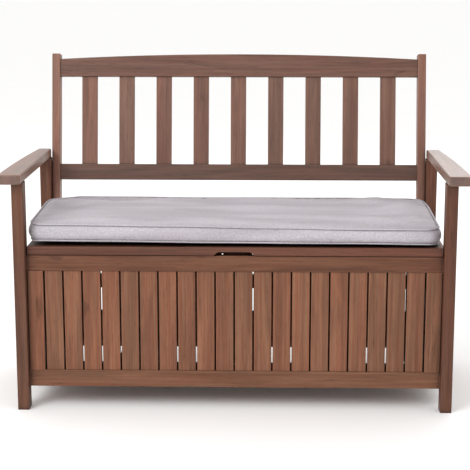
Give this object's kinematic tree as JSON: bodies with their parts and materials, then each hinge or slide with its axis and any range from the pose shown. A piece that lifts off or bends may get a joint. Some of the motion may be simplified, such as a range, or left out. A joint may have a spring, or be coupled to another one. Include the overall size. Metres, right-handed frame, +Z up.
{
  "type": "storage bench",
  "caption": "Wooden garden storage bench with a slatted box under a hinged seat lid, flat arms, a leaning slatted back and a loose fabric seat cushion.",
  "frame": {"origin": "on the floor under the middle of the overall box", "axes": "+X along the bench to the right as seen from the front, -Y to the front, +Z up"},
  "size_m": [1.2, 0.6, 0.8996],
  "materials": {
    "leg_wood": "semi-matte stained acacia, upright grain",
    "arm_wood": "stained acacia with a light oiled sheen",
    "panel_wood": "stained acacia, board-to-board colour variation",
    "back_wood": "stained acacia, slightly greyed",
    "lid_wood": "stained acacia, eased edges",
    "floor_wood": "plain stained acacia",
    "dowel_wood": "raw beech",
    "zinc_steel": "zinc-plated steel",
    "cushion_fabric": "woven polyester, warm light grey, piped seams"
  },
  "bodies": {
    "frame": {"arm_dowels": "dowel_wood", "armrest_left": "arm_wood", "armrest_right": "arm_wood", "back_lower_rail": "back_wood", "back_post_bolts": "zinc_steel", "back_post_insert_nuts": "zinc_steel", "back_post_left": "back_wood", "back_post_right": "back_wood", "back_slat_1": "back_wood", "back_slat_2": "back_wood", "back_slat_3": "back_wood", "back_slat_4": "back_wood", "back_slat_5": "back_wood", "back_slat_6": "back_wood", "back_slat_7": "back_wood", "back_slat_8": "back_wood", "back_slat_9": "back_wood", "back_top_rail": "back_wood", "floor_bearer_front": "floor_wood", "floor_bearer_rear": "floor_wood", "floor_boards": "floor_wood", "floor_screws": "zinc_steel", "front_bottom_rail": "panel_wood", "front_leg_left": "leg_wood", "front_leg_right": "leg_wood", "front_panel_bolts": "zinc_steel", "front_slats": "panel_wood", "front_stile_left": "panel_wood", "front_stile_right": "panel_wood", "front_top_rail": "panel_wood", "hinge_leaves_fixed": "zinc_steel", "hinge_rail": "panel_wood", "hinge_screws_fixed": "zinc_steel", "panel_barrel_nuts": "zinc_steel", "rear_bottom_rail": "panel_wood", "rear_leg_left": "leg_wood", "rear_leg_right": "leg_wood", "rear_panel_bolts": "zinc_steel", "rear_slats": "panel_wood", "rear_stile_left": "panel_wood", "rear_stile_right": "panel_wood", "rear_stretcher": "panel_wood", "side_bottom_rail_left": "panel_wood", "side_bottom_rail_right": "panel_wood", "side_slats_left": "panel_wood", "side_slats_right": "panel_wood", "side_top_rail_left": "panel_wood", "side_top_rail_right": "panel_wood"},
    "lid": {"hinge_leaves_lid": "zinc_steel", "hinge_pins": "zinc_steel", "hinge_screws_lid": "zinc_steel", "lid_battens": "lid_wood", "lid_board_1": "lid_wood", "lid_board_2": "lid_wood", "lid_board_3": "lid_wood", "lid_board_4": "lid_wood", "lid_board_5": "lid_wood", "lid_screws": "zinc_steel"},
    "cushion": {"seat_cushion": "cushion_fabric"}
  },
  "joints": [
    {"name": "lid_hinge", "type": "hinge", "parent": "frame", "child": "lid", "pos_m": [0, 0.1505, 0.4395], "axis": [-1, 0, 0], "range_deg": [0, 65]},
    {"name": "cushion_slide", "type": "slide", "parent": "lid", "child": "cushion", "axis": [0, -1, 0], "range_m": [0, 0.4]}
  ]
}
